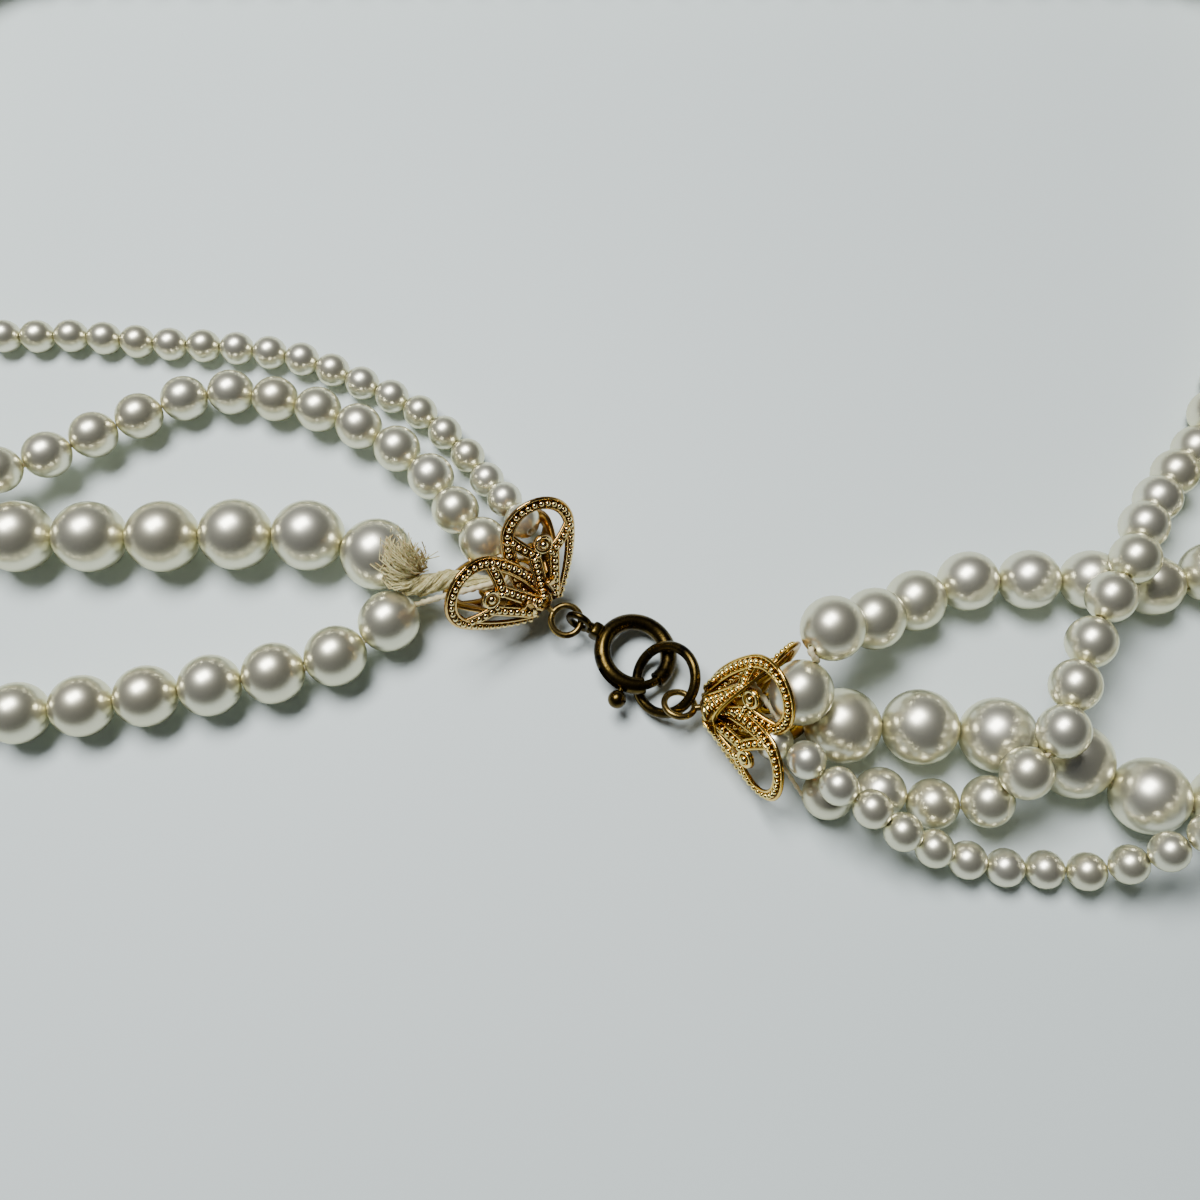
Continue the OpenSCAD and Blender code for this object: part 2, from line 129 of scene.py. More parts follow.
def dimRoom():
    # Pale walls round the table, under a dim ceiling that is paler on the left
    world = bpy.data.worlds.new("dimRoom")
    world.use_nodes = True
    tree = world.node_tree
    way = addNode(tree, "ShaderNodeSeparateXYZ",
                  {"Vector": addNode(tree, "ShaderNodeTexCoord").outputs["Generated"]})
    left, right = studio["ceilingSides"]
    side = addNode(tree, "ShaderNodeMapRange",
                   {"Value": way.outputs["X"], "From Min": left, "From Max": right})
    ceiling = addNode(tree, "ShaderNodeValToRGB", {"Fac": side.outputs["Result"]},
                      stops=[(0.0, studio["ceilingLeft"]), (1.0, studio["ceilingRight"])])
    height = addNode(tree, "ShaderNodeMapRange",
                     {"Value": way.outputs["Z"], "From Min": studio["wallFoot"],
                      "From Max": studio["wallTop"]}, interpolation_type="SMOOTHSTEP")
    room = addNode(tree, "ShaderNodeMix",
                   {0: height.outputs["Result"], 6: hexColor(studio["walls"]),
                    7: ceiling.outputs["Color"]}, data_type="RGBA")
    tree.links.new(room.outputs[2], tree.nodes["Background"].inputs["Color"])
    bpy.context.scene.world = world


placeCamera()
hangKeyLamp()
dimRoom()
print("camera and light are set")


def pearlLacquer():
    # Pearl essence on moulded glass, dipped many times: a soft deep lustre under a clear glossy
    # film, a little warmer where the dips gather round the holes
    material, tree, shader = startMaterial(
        "pearl essence lacquer, dipped", Metallic=0.87, IOR=1.55, Coat_Weight=1.0,
        Coat_Roughness=0.14, Coat_IOR=1.6, Specular_Tint=hexColor("#DEDAA8"))
    place3d = addNode(tree, "ShaderNodeTexCoord").outputs["Object"]
    tone = addNode(tree, "ShaderNodeAttribute", attribute_name="tone").outputs["Fac"]
    mouth = addNode(tree, "ShaderNodeAttribute", attribute_name="mouth").outputs["Fac"]
    # each pearl has its own tone, and faint clouds about a millimetre wide
    body = addNode(tree, "ShaderNodeValToRGB", {"Fac": tone},
                   stops=[(0.0, "#E6E1C4"), (0.5, "#ECE9D4"), (1.0, "#E7E4C9")])
    cloud = addNode(tree, "ShaderNodeTexNoise",
                    {"Vector": place3d, "Scale": patternScale(1.11), "Detail": 3.0})
    clouded = addNode(tree, "ShaderNodeMix",
                      {"Factor": 0.06, 6: body.outputs["Color"], 7: cloud.outputs["Color"]},
                      data_type="RGBA", blend_type="SOFT_LIGHT")
    # creamier near the holes, and dull on their very edge
    creamy = addNode(tree, "ShaderNodeMapRange",
                     {"Value": mouth, "From Min": 0.72, "From Max": 1.0})
    base = addNode(tree, "ShaderNodeMix",
                   {0: creamy.outputs["Result"], 6: clouded.outputs[2], 7: hexColor("#EAE6C6")},
                   data_type="RGBA")
    tree.links.new(base.outputs[2], shader.inputs["Base Color"])
    dry = addNode(tree, "ShaderNodeMapRange", {"Value": mouth, "From Min": 0.97, "From Max": 1.0,
                                               "To Min": 0.31, "To Max": 0.5})
    tree.links.new(dry.outputs["Result"], shader.inputs["Roughness"])
    # the dips leave a faint orange peel, three quarters of a millimetre wide
    peel = addNode(tree, "ShaderNodeTexNoise",
                   {"Vector": place3d, "Scale": patternScale(0.77), "Detail": 2.0})
    bump = addNode(tree, "ShaderNodeBump",
                   {"Height": peel.outputs["Fac"], "Strength": 0.05, "Distance": 0.04 * mm})
    tree.links.new(bump.outputs["Normal"], shader.inputs["Normal"])
    return material


def giltStamping(name, shades):
    # Stamped brass, gold plated and bright where it is rubbed, with brown-black tarnish and painted
    # shade darkening the recesses between the beaded edges
    material, tree, shader = startMaterial(name, Metallic=1.0)
    place3d = addNode(tree, "ShaderNodeTexCoord").outputs["Object"]
    relief = addNode(tree, "ShaderNodeAttribute", attribute_name="relief").outputs["Fac"]
    # relief runs from 0 in a recess to 1 on a bead, and wear blots it about a millimetre wide
    patch = addNode(tree, "ShaderNodeTexNoise",
                    {"Vector": place3d, "Scale": patternScale(0.91), "Detail": 4.0})
    worn = addNode(tree, "ShaderNodeMath", {0: patch.outputs["Fac"], 1: 0.2}, operation="MULTIPLY")
    height = addNode(tree, "ShaderNodeMath", {0: relief, 1: worn.outputs[0]}, operation="ADD")
    # the ramp paints low relief near black: tarnish, and painted shade in the recesses
    base = addNode(tree, "ShaderNodeValToRGB", {"Fac": height.outputs[0]},
                   stops=list(zip((0.15, 0.42, 0.72, 1.0), shades)))
    tree.links.new(base.outputs["Color"], shader.inputs["Base Color"])
    dull = addNode(tree, "ShaderNodeMapRange",
                   {"Value": height.outputs[0], "From Min": 0.1, "From Max": 0.8,
                    "To Min": 0.42, "To Max": 0.13})
    tree.links.new(dull.outputs["Result"], shader.inputs["Roughness"])
    # the plating's grain, drawn a quarter of a millimetre wide so that it shows
    grain = addNode(tree, "ShaderNodeTexNoise",
                    {"Vector": place3d, "Scale": patternScale(0.238), "Detail": 3.0})
    bump = addNode(tree, "ShaderNodeBump",
                   {"Height": grain.outputs["Fac"], "Strength": 0.25, "Distance": 0.03 * mm})
    tree.links.new(bump.outputs["Normal"], shader.inputs["Normal"])
    return material


def antiqueBrass(name, dark, bright, share, roughness):
    # Brass blackened in a bath and rubbed back, so that patches of metal shine through the brown
    material, tree, shader = startMaterial(name, Metallic=1.0, Roughness=roughness)
    place3d = addNode(tree, "ShaderNodeTexCoord").outputs["Object"]
    patch = addNode(tree, "ShaderNodeTexNoise",
                    {"Vector": place3d, "Scale": patternScale(1.54), "Detail": 5.0,
                     "Roughness": 0.62})
    base = addNode(tree, "ShaderNodeValToRGB", {"Fac": patch.outputs["Fac"]},
                   stops=[(share - 0.14, dark), (share + 0.16, bright)])
    tree.links.new(base.outputs["Color"], shader.inputs["Base Color"])
    dull = addNode(tree, "ShaderNodeMapRange",
                   {"Value": patch.outputs["Fac"], "From Min": 0.3, "From Max": 0.7,
                    "To Min": roughness + 0.12, "To Max": roughness - 0.05})
    tree.links.new(dull.outputs["Result"], shader.inputs["Roughness"])
    # scuffs of handling, drawn a quarter of a millimetre wide so that they show
    scuff = addNode(tree, "ShaderNodeTexNoise",
                    {"Vector": place3d, "Scale": patternScale(0.278), "Detail": 4.0})
    bump = addNode(tree, "ShaderNodeBump",
                   {"Height": scuff.outputs["Fac"], "Strength": 0.3, "Distance": 0.03 * mm})
    tree.links.new(bump.outputs["Normal"], shader.inputs["Normal"])
    return material


def cottonFibre(name, shades):
    # Cotton fibres: matt and creamy, with a nap that is drawn coarser than the real
    # fiftieth of a millimetre, so that it shows
    material, tree, shader = startMaterial(name, Roughness=0.72, Sheen_Weight=0.25,
                                           Sheen_Roughness=0.5, Subsurface_Weight=0.12,
                                           Subsurface_Scale=0.0008)
    place3d = addNode(tree, "ShaderNodeTexCoord").outputs["Object"]
    fibre = addNode(tree, "ShaderNodeTexNoise",
                    {"Vector": place3d, "Scale": patternScale(0.385), "Detail": 5.0,
                     "Roughness": 0.7})
    base = addNode(tree, "ShaderNodeValToRGB", {"Fac": fibre.outputs["Fac"]},
                   stops=list(zip((0.3, 0.55, 0.8), shades)))
    tree.links.new(base.outputs["Color"], shader.inputs["Base Color"])
    bump = addNode(tree, "ShaderNodeBump",
                   {"Height": fibre.outputs["Fac"], "Strength": 0.7, "Distance": 0.08 * mm})
    tree.links.new(bump.outputs["Normal"], shader.inputs["Normal"])
    return material


def coatedBoard():
    # Pale coated board: even, only just satin, with faint clouds of some centimetres
    material, tree, shader = startMaterial("coated board, smooth", Roughness=0.55)
    place3d = addNode(tree, "ShaderNodeTexCoord").outputs["Object"]
    cloud = addNode(tree, "ShaderNodeTexNoise",
                    {"Vector": place3d, "Scale": patternScale(71), "Detail": 2.0})
    base = addNode(tree, "ShaderNodeValToRGB", {"Fac": cloud.outputs["Fac"]},
                   stops=list(zip((0.3, 0.7), studio["tableColors"])))
    tree.links.new(base.outputs["Color"], shader.inputs["Base Color"])
    return material


pearlMaterial = pearlLacquer()
giltMaterial = giltStamping("gold plated stamped brass",
                            ("#1A0F04", "#6C4510", "#D9A83E", "#FCE48E"))
wornGiltMaterial = giltStamping("gold plated stamped brass, worn",
                                ("#120904", "#4E320F", "#C29247", "#F6DF9F"))
claspMaterial = antiqueBrass("blackened brass, rubbed back", "#0F0C07", "#655328", 0.5, 0.24)
wireMaterial = antiqueBrass("drawn brass wire, tarnished", "#3A2C14", "#B69A58", 0.47, 0.24)
threadMaterial = cottonFibre("waxed cotton thread, spun", ("#B7A877", "#DDD2A6", "#EFE8C8"))
tuftMaterial = cottonFibre("cotton cord, frayed", ("#9A8648", "#D2C58C", "#F0E9C0"))
print("materials are made")


def deselectAll():
    bpy.ops.object.select_all(action="DESELECT")


def takeUp(obj):
    deselectAll()
    obj.select_set(True)
    bpy.context.view_layer.objects.active = obj


def finishPiece(obj, name, material, stands=()):
    # Names and dresses a piece, and lets it ride on the necklace and stand for its CAD nodes
    obj.name = name
    obj.data.name = name
    obj.data.materials.clear()
    obj.data.materials.append(material)
    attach(obj, "necklace")
    if stands:
        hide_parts(*stands)
    return obj


def meshPiece(name, verts, faces, **attributes):
    # A mesh object from plain lists, with a float attribute for each named list
    mesh = bpy.data.meshes.new(name)
    mesh.from_pydata(verts, [], faces)
    for key, values in attributes.items():
        mesh.attributes.new(key, "FLOAT", "POINT").data.foreach_set("value", values)
    mesh.polygons.foreach_set("use_smooth", [True] * len(mesh.polygons))
    mesh.update()
    obj = bpy.data.objects.new(name, mesh)
    bpy.context.scene.collection.objects.link(obj)
    return obj


def takeShape(obj):
    # The points and faces of a modelled shape, which then goes
    verts = [v.co.copy() for v in obj.data.vertices]
    faces = [tuple(p.vertices) for p in obj.data.polygons]
    mesh = obj.data
    bpy.data.objects.remove(obj)
    bpy.data.meshes.remove(mesh)
    return verts, faces


# Faces round a pearl and from hole to hole, and the radius of its hole's mouth
pearlStrings = {
    "a": {"diameter": 3, "pitch": 3.06, "segments": 20, "rings": 10, "mouth": 0.27},
    "b": {"diameter": 4, "pitch": 4.115, "segments": 28, "rings": 14, "mouth": 0.28},
    "c": {"diameter": 6, "pitch": 6.115, "segments": 36, "rings": 18, "mouth": 0.3},
    "d": {"diameter": 5, "pitch": 5.115, "segments": 32, "rings": 16, "mouth": 0.3},
}
# The way of the finest string, from the left cap round the back to the right one: x, y, lift
wayA = [
    (-6.5, -24.3, 2.3), (-8.2, -21.8, 1.3), (-10, -19.3, 0.2), (-11.6, -17.1, 0), (-16, -12.8, 0),
    (-21.3, -9.9, 0), (-27, -7.4, 0), (-33, -6.3, 0), (-40, -5.8, 0), (-48, -5, 0), (-54.6, -5, 0),
    (-58.8, -3.6, 0), (-61, 1, 0), (-62.5, 8, 0), (-65, 20, 0), (-67, 31, 0),
    (-64.6, 37, 0), (-57, 39.9, 0), (-40, 40.4, 0), (0, 40.8, 0), (40, 40.4, 0), (57, 39.9, 0),
    (64.6, 37, 0), (67, 31, 0), (65, 20, 0), (64, 8, 0), (63.2, -2, 0), (62, -10, 0), (60, -19, 0),
    (57.6, -28.5, 0), (55.3, -35.4, 1.3), (53.6, -40.2, 4.1), (51.6, -44.2, 6), (49.4, -47, 6.4),
    (46.5, -49.4, 6.2), (43.8, -51, 5.4), (42.2, -51.7, 4.2), (40.1, -52.4, 2.3),
    (37.6, -52.8, 0.7), (34.8, -52.6, 0), (31.7, -52.5, 0), (28.6, -52, 0.4), (25.5, -51.2, 1.6),
    (22.5, -49.9, 3), (20, -48.2, 4), (17.5, -46.6, 4.4), (15.4, -44.6, 4), (13, -42.8, 2.5)]


def smoothWay(rows, radius, steps):
    # Points of a smooth curve through the rows, at the centre of beads of that radius
    pins = [Vector(row) for row in rows]
    line = []
    for i in range(len(pins) - 1):
        a, b, c, d = pins[max(i - 1, 0)], pins[i], pins[i + 1], pins[min(i + 2, len(pins) - 1)]
        span = (c - b).length
        leave, arrive = (c - a).normalized() * span, (d - b).normalized() * span
        for k in range(steps):
            u = k / steps
            line.append(b * (2 * u ** 3 - 3 * u ** 2 + 1) + leave * (u ** 3 - 2 * u ** 2 + u)
                        + c * (3 * u ** 2 - 2 * u ** 3) + arrive * (u ** 3 - u ** 2))
    line.append(pins[-1])
    return [Vector((p.x, p.y, max(p.z, 0) + radius)) for p in line]


def strungAlong(line, pitch):
    # Bead centres along a line, each one pitch from the last
    strung, i = [line[0]], 1
    while i < len(line):
        last = strung[-1]
        if (line[i] - last).length < pitch:
            i += 1
            continue
        a, b = line[i - 1], line[i]
        low, high = 0.0, 1.0
        for _ in range(20):
            middle = (low + high) / 2
            tooNear = (a.lerp(b, middle) - last).length < pitch
            low, high = (middle, high) if tooNear else (low, middle)
        strung.append(a.lerp(b, high))
    return strung


def beadCentres(node, start):
    # The middle of each bead of a CAD strand, in the order of stringing, in millimetres
    strand = bmesh.new()
    strand.from_mesh(nodes[node].data)
    bmesh.ops.remove_doubles(strand, verts=strand.verts, dist=1e-6)
    seen, middles = set(), []
    for seed in strand.verts:
        if seed in seen:
            continue
        seen.add(seed)
        island, todo = [], [seed]
        while todo:
            vert = todo.pop()
            island.append(vert.co)
            for edge in vert.link_edges:
                other = edge.other_vert(vert)
                if other not in seen:
                    seen.add(other)
                    todo.append(other)
        spans = [[p[k] for p in island] for k in range(3)]
        middles.append(Vector([(min(span) + max(span)) / 2 / mm for span in spans]))
    strand.free()
    ordered, at = [], Vector(start)
    while middles:
        at = min(middles, key=lambda p: (p - at).length)
        middles.remove(at)
        ordered.append(at)
    return ordered


def holeWays(strung):
    # The direction of the hole through each bead of a string
    last = len(strung) - 1
    return [(strung[min(i + 1, last)] - strung[max(i - 1, 0)]).normalized()
            for i in range(last + 1)]


def modelPearl(kind):
    # One drilled pearl round the origin, its hole along Z
    size = pearlStrings[kind]
    radius = size["diameter"] / 2
    deselectAll()
    bpy.ops.mesh.primitive_uv_sphere_add(segments=size["segments"], ring_count=size["rings"],
                                         radius=radius)
    pearl = bpy.context.object
    bpy.ops.object.mode_set(mode="EDIT")
    bpy.ops.mesh.select_mode(type="VERT")
    for side in (1, -1):
        # the pole goes, its ring closes up to the mouth of the hole, and the wall goes in
        shape = bmesh.from_edit_mesh(pearl.data)
        for vert in shape.verts:
            vert.select_set(vert.co.z * side > radius * 0.9999)
        shape.select_flush_mode()
        bmesh.update_edit_mesh(pearl.data)
        bpy.ops.mesh.delete(type="VERT")
        shape = bmesh.from_edit_mesh(pearl.data)
        ring = max(v.co.z * side for v in shape.verts)
        width = max(v.co.xy.length for v in shape.verts if v.co.z * side > ring - 1e-5)
        for vert in shape.verts:
            vert.select_set(vert.co.z * side > ring - 1e-5)
        shape.select_flush_mode()
        bmesh.update_edit_mesh(pearl.data)
        shrink, before = size["mouth"] / width, 1.0
        rise = math.sqrt(radius ** 2 - (1.25 * size["mouth"]) ** 2) - ring
        for scale, step in ((shrink * 1.25, rise), (shrink, -0.03 * radius),
                            (shrink * 0.9, -0.45 * radius)):
            bpy.ops.mesh.extrude_edges_move(TRANSFORM_OT_translate={"value": (0, 0, step * side)})
            bpy.ops.transform.resize(value=(scale / before, scale / before, 1))
            before = scale
    bpy.ops.mesh.select_all(action="SELECT")
    bpy.ops.mesh.normals_make_consistent(inside=False)
    bpy.ops.object.mode_set(mode="OBJECT")
    return takeShape(pearl)


def stringPearls(kind, strung, node, name):
    # Copies of the pearl along the string, touching, each turned and toned its own way
    size = pearlStrings[kind]
    shape, sides = modelPearl(kind)
    radius = size["diameter"] / 2
    stretch = size["pitch"] / size["diameter"]
    verts, faces, tone, mouth = [], [], [], []
    for centre, way in zip(strung, holeWays(strung)):
        turn = way.to_track_quat("Z", "Y").to_matrix()
        turn = turn @ Matrix.Rotation(random.uniform(0, math.tau), 3, "Z")
        shade, girth, start = random.random(), random.uniform(0.99, 1.006), len(verts)
        for v in shape:
            verts.append((centre + turn @ Vector((v.x * girth, v.y * girth, v.z * stretch))) * mm)
            tone.append(shade)
            mouth.append(min(abs(v.z) / radius, 1.0))
        faces += [[i + start for i in side] for side in sides]
    pearls = meshPiece(name, verts, faces, tone=tone, mouth=mouth)
    return finishPiece(pearls, name, pearlMaterial, stands=(node,))


# The finest pearls are strung here, the others lie where the CAD has them, from the left cap on
beads = {
    "a": strungAlong(smoothWay(wayA, pearlStrings["a"]["diameter"] / 2, 5),
                     pearlStrings["a"]["pitch"]),
    "b": beadCentres("strand_b", (-9.7, -26.2, 3.9)),
    "c": beadCentres("strand_c", (-18.6, -27, 3)),
    "d": beadCentres("strand_d", (-17.3, -32.8, 2.7)),
}
for kind in beads:
    stringPearls(kind, beads[kind], "strand_" + kind, "pearls_" + kind)
    print("string", kind, "has", len(beads[kind]), "pearls")

thread = {
    "radius": 0.19, "thickRadius": 0.29, "twist": 1.5, "step": 0.3, "sides": 10,
    "core": 0.8, "lobe": 0.22,  # shares of the radius
    "bareOut": 0.35, "slack": (-0.15, -0.2, 0.55),  # between the last two pearls of string d
}
# Its place on the cap's axis is from the apex in
knot = {"turns": 5, "steps": 22, "radius": 0.86, "swell": 0.2, "swells": 3, "from": 3.66,
        "length": 0.68, "thread": 0.26}
# Where each cap starts, how it points (heading, rise, roll), and how its petals are bent
leftCap = {"apex": (-4.06, -31.85, 2.9), "turn": (136.5, 13.7, 219),
           "around": (0, 90, 180, 270), "spread": (45, 35, 33, 48), "twist": (-38, 20, -20, 29)}
rightCap = {"apex": (7.78, -39.97, 2.32), "turn": (2, 14.7, 189),
            "around": (0, 74, 180, 294), "spread": (34, 50, 24, 26), "twist": (18, -28, 0, -18)}
# The way of each thread from the left knot to its pearls, and from them to the right knot
threadEnds = {
    "b": ([(-6.22, -28.13, 5.16)], [(12.38, -41.42, 2.91)]),
    "c": ([], [(12.61, -40.39, 1.92)]),
    "d": ([(-8.28, -30.07, 4.55), (-13.4, -31.3, 4)], [(11.91, -38.34, 4.3)]),
}


def evenSteps(points, step):
    # The same line with a point every step, its corners eased
    line = [Vector(p) for p in points]
    spaced, carried = [line[0]], 0.0
    for a, b in zip(line, line[1:]):
        span = (b - a).length
        at = step - carried
        while at < span:
            spaced.append(a.lerp(b, at / span))
            at += step
        carried = span - (at - step)
    spaced.append(line[-1])
    eased = [spaced[0]]
    for a, b, c in zip(spaced, spaced[1:], spaced[2:]):
        eased.append((a + b * 2 + c) / 4)
    return eased + [spaced[-1]]


def layThread(name, points, node, radius=thread["radius"]):
    # A two-ply thread along the points: a tube with two lobes that turn round it
    line = evenSteps(points, thread["step"])
    count, sides = len(line), thread["sides"]
    verts, faces = [], []
    for i, centre in enumerate(line):
        way = (line[min(i + 1, count - 1)] - line[max(i - 1, 0)]).normalized()
        across = Vector((0, 0, 1)).cross(way)
        across = across.normalized() if across.length > 1e-4 else Vector((1, 0, 0))
        upward = way.cross(across)
        turned = math.tau * i * thread["step"] / thread["twist"]
        for k in range(sides):
            angle = math.tau * k / sides
            lobe = radius * (thread["core"] + thread["lobe"] * math.cos(2 * (angle - turned)))
            out = across * math.cos(angle) * lobe + upward * math.sin(angle) * lobe
            verts.append((centre + out) * mm)
    for i in range(count - 1):
        for k in range(sides):
            a, b = i * sides + k, i * sides + (k + 1) % sides
            faces.append((a, b, b + sides, a + sides))
    faces.append(tuple(reversed(range(sides))))
    faces.append(tuple(range((count - 1) * sides, count * sides)))
    piece = meshPiece(name, verts, faces)
    return finishPiece(piece, name, threadMaterial, stands=(node,))


def threadLine(kind):
    # The way of a thread through its pearls, with a bare stretch between the last two of string d
    reach = pearlStrings[kind]["diameter"] / 2
    line = [Vector(p) for p in threadEnds[kind][0]]
    strung = beads[kind]
    for i, (centre, way) in enumerate(zip(strung, holeWays(strung))):
        out = reach + (thread["bareOut"] if kind == "d" and i >= len(strung) - 2 else 0)
        line += [centre - way * out, centre + way * out]
        if out > reach and i < len(strung) - 1:
            line.append(centre.lerp(strung[i + 1], 0.5) + Vector(thread["slack"]))
    return line + [Vector(p) for p in threadEnds[kind][1]]


def capPlace(cap):
    # Places a piece on the cap's axis, +Z from the apex into the cap
    heading, rise = cap["turn"][:2]
    return (Matrix.Translation(Vector(cap["apex"])) @ Matrix.Rotation(math.radians(heading), 4, "Z")
            @ Matrix.Rotation(math.radians(90 - rise), 4, "Y"))


def windKnot(name, cap, node):
    # The threads' ends wound round the pin and tied
    onAxis, count = capPlace(cap), knot["turns"] * knot["steps"]
    line = []
    for i in range(count + 1):
        angle, share = math.tau * i / knot["steps"], i / count
        radius = knot["radius"] + knot["swell"] * math.sin(share * math.pi * knot["swells"]) ** 2
        line.append(onAxis @ Vector((radius * math.cos(angle), radius * math.sin(angle),
                                     knot["from"] + knot["length"] * share)))
    return layThread(name, line, node, radius=knot["thread"])


for kind in "bcd":
    layThread("stringing_thread_" + kind, threadLine(kind), "thread_" + kind,
              radius=thread["thickRadius"] if kind == "d" else thread["radius"])
windKnot("wound_knot_left", leftCap, "left_knot")
windKnot("wound_knot_right", rightCap, "right_knot")
print("threads and knots are laid")

tuft = {
    "way": [(-8.6, -30, 3.35), (-10.8, -29.5, 3.6), (-12.6, -29.5, 3.7), (-14.4, -30.1, 3.9),
            (-15.7, -29.9, 4.1), (-16.1, -28.7, 4.6), (-15.7, -27.2, 5)],
    "fibres": 460, "yarns": 5, "fibre": 0.06, "points": 14,
    "cord": (0.58, 1.15),  # its radius at the cap and at the end
    "yarnTurn": 9, "ownTurn": 14,  # radians over the whole length
    "fraysFrom": 0.55, "shortest": 0.78, "bend": 0.7, "shake": 0.03, "tableGap": 0.2,
    "clearOf": {"c": 3.1, "d": 2.6, "b": 2.1},  # the reach of each string's first pearl
}


def frayThread():
    # The cord of the threads comes out of the left cap and frays against the first pearls
    line = smoothWay(tuft["way"], 0, 6)
    last = len(line) - 1
    thick, thicker = tuft["cord"]
    deselectAll()
    bpy.ops.curve.primitive_bezier_curve_add()
    tangle = bpy.context.object
    curve = tangle.data
    curve.splines.clear()
    curve.dimensions = "3D"
    curve.bevel_depth = tuft["fibre"] * mm
    curve.bevel_resolution = 0
    curve.use_fill_caps = True
    for n in range(tuft["fibres"]):
        yarn = math.tau * (n % tuft["yarns"]) / tuft["yarns"]
        own, out = random.uniform(0, math.tau), math.sqrt(random.random())
        ends, stray = random.uniform(tuft["shortest"], 1.0), random.uniform(0.3, 1.0)
        bend = Vector([random.gauss(0, tuft["bend"]) for _ in range(3)])
        spline = curve.splines.new("POLY")
        spline.points.add(tuft["points"] - 1)
        for k, point in enumerate(spline.points):
            share = k / (tuft["points"] - 1) * ends
            i = int(share * last)
            at = line[min(i, last - 1)].lerp(line[min(i + 1, last)], share * last % 1)
            along = (line[min(i + 1, last)] - line[max(i - 1, 0)]).normalized()
            across = along.cross(Vector((0, 0, 1))).normalized()
            upward = across.cross(along)
            loose = max(0.0, (share - tuft["fraysFrom"]) / (1 - tuft["fraysFrom"])) ** 1.5
            cord = thick + (thicker - thick) * share
            # the yarn turns about the cord, the fibre about its yarn
            turn, wide = yarn + tuft["yarnTurn"] * share, cord * (0.56 + 0.8 * loose * stray)
            twist, thin = own + tuft["ownTurn"] * share, cord * 0.42 * out * (1 + 1.2 * loose)
            at = at + across * (math.cos(turn) * wide + math.cos(twist) * thin)
            at = at + upward * (math.sin(turn) * wide + math.sin(twist) * thin)
            shake = Vector([random.gauss(0, tuft["shake"]) for _ in range(3)])
            at += bend * loose + shake * (1 + 3 * loose)
            for kind, reach in tuft["clearOf"].items():
                away = at - beads[kind][0]
                if away.length < reach:
                    at = beads[kind][0] + away.normalized() * reach
            at.z = max(at.z, tuft["tableGap"])
            point.co = (*(at * mm), 1)
            point.radius = 1.3 - 0.7 * loose
    takeUp(tangle)
    bpy.ops.object.convert(target="MESH")
    bpy.ops.object.shade_smooth()
    return finishPiece(bpy.context.object, "frayed_tuft", tuftMaterial,
                       stands=("frayed_thread",))


frayThread()
print("the thread's end is frayed")

# A petal lies flat along X from its neck, and is then pressed to a cone
petalShape = {
    "length": 9.8, "width": 6.2, "neck": 0.35, "cone": 40, "railInset": 0.47,
    "vFoot": 4.9, "vEnds": 6.86, "vSpread": 2.55, "vCurl": 1.6,
    "stemFrom": (0.9, 0.34), "stemShort": 0.6, "stemSpread": 0.5, "footShort": 0.5,
    "band": 0.5, "bandFlat": 0.34, "bandLift": 0.15, "footFlat": 0.5,
    "edgeWire": 0.14, "edgeAt": 0.37, "edgeLift": 0.24,
    "bead": 0.25, "beadPitch": 0.56, "beadLift": 0.34,
    "scroll": 0.62, "scrollGap": 0.35, "scrollWire": 0.17, "scrollLift": 0.3,
    "scrollBand": 0.255, "scrollBandFlat": 0.6, "scrollBandLift": 0.14,
    "ball": 0.36, "ballLift": 0.36,
}
# The boss is cut from a ball between these heights, and sits that far in from the apex
capBoss = {"radius": 1.15, "from": -1.05, "to": 0.35, "at": 1.35, "wall": 0.3}


def mirrored(line):
    return [(x, -y) for x, y in line]


def petalEdge(inset):
    # The petal's outline at an inset, from the neck round the tip and back, in its flat form
    tip = petalShape["width"] / 2 - inset
    middle = petalShape["length"] - petalShape["width"] / 2
    taper = tip - petalShape["neck"]
    side = (middle ** 2 + taper ** 2) / (2 * taper)
    flank = []
    for k in range(15):
        x = inset * 1.6 + (middle - inset * 1.6) * k / 14
        flank.append((x, tip - side + math.sqrt(side ** 2 - (x - middle) ** 2)))
    turns = [math.pi * k / 20 for k in range(1, 20)]
    curve = [(middle + tip * math.sin(turn), tip * math.cos(turn)) for turn in turns]
    return flank + curve + mirrored(reversed(flank))


def beside(points, offset):
    # A line of points moved sideways
    moved = []
    for i, (x, y) in enumerate(points):
        ax, ay = points[max(i - 1, 0)]
        bx, by = points[min(i + 1, len(points) - 1)]
        span = math.hypot(bx - ax, by - ay)
        moved.append((x - (by - ay) / span * offset, y + (bx - ax) / span * offset))
    return moved


def onCone(x, y, height):
    # A point of the flat petal, dropped on the cone of the cap and lifted along its normal
    angle = math.radians(petalShape["cone"])
    s, c = math.sin(angle), math.cos(angle)
    p, q, r = c * c - s * s, 2 * c * s * x, c * c * y * y
    drop = (-q + math.sqrt(max(q * q - 4 * p * r, 0))) / (2 * p)
    along = x * c - drop * s
    normal = Vector((c * c * x - c * along, c * c * y, c * c * drop + s * along))
    return Vector((x, y, drop)) + normal.normalized() * height


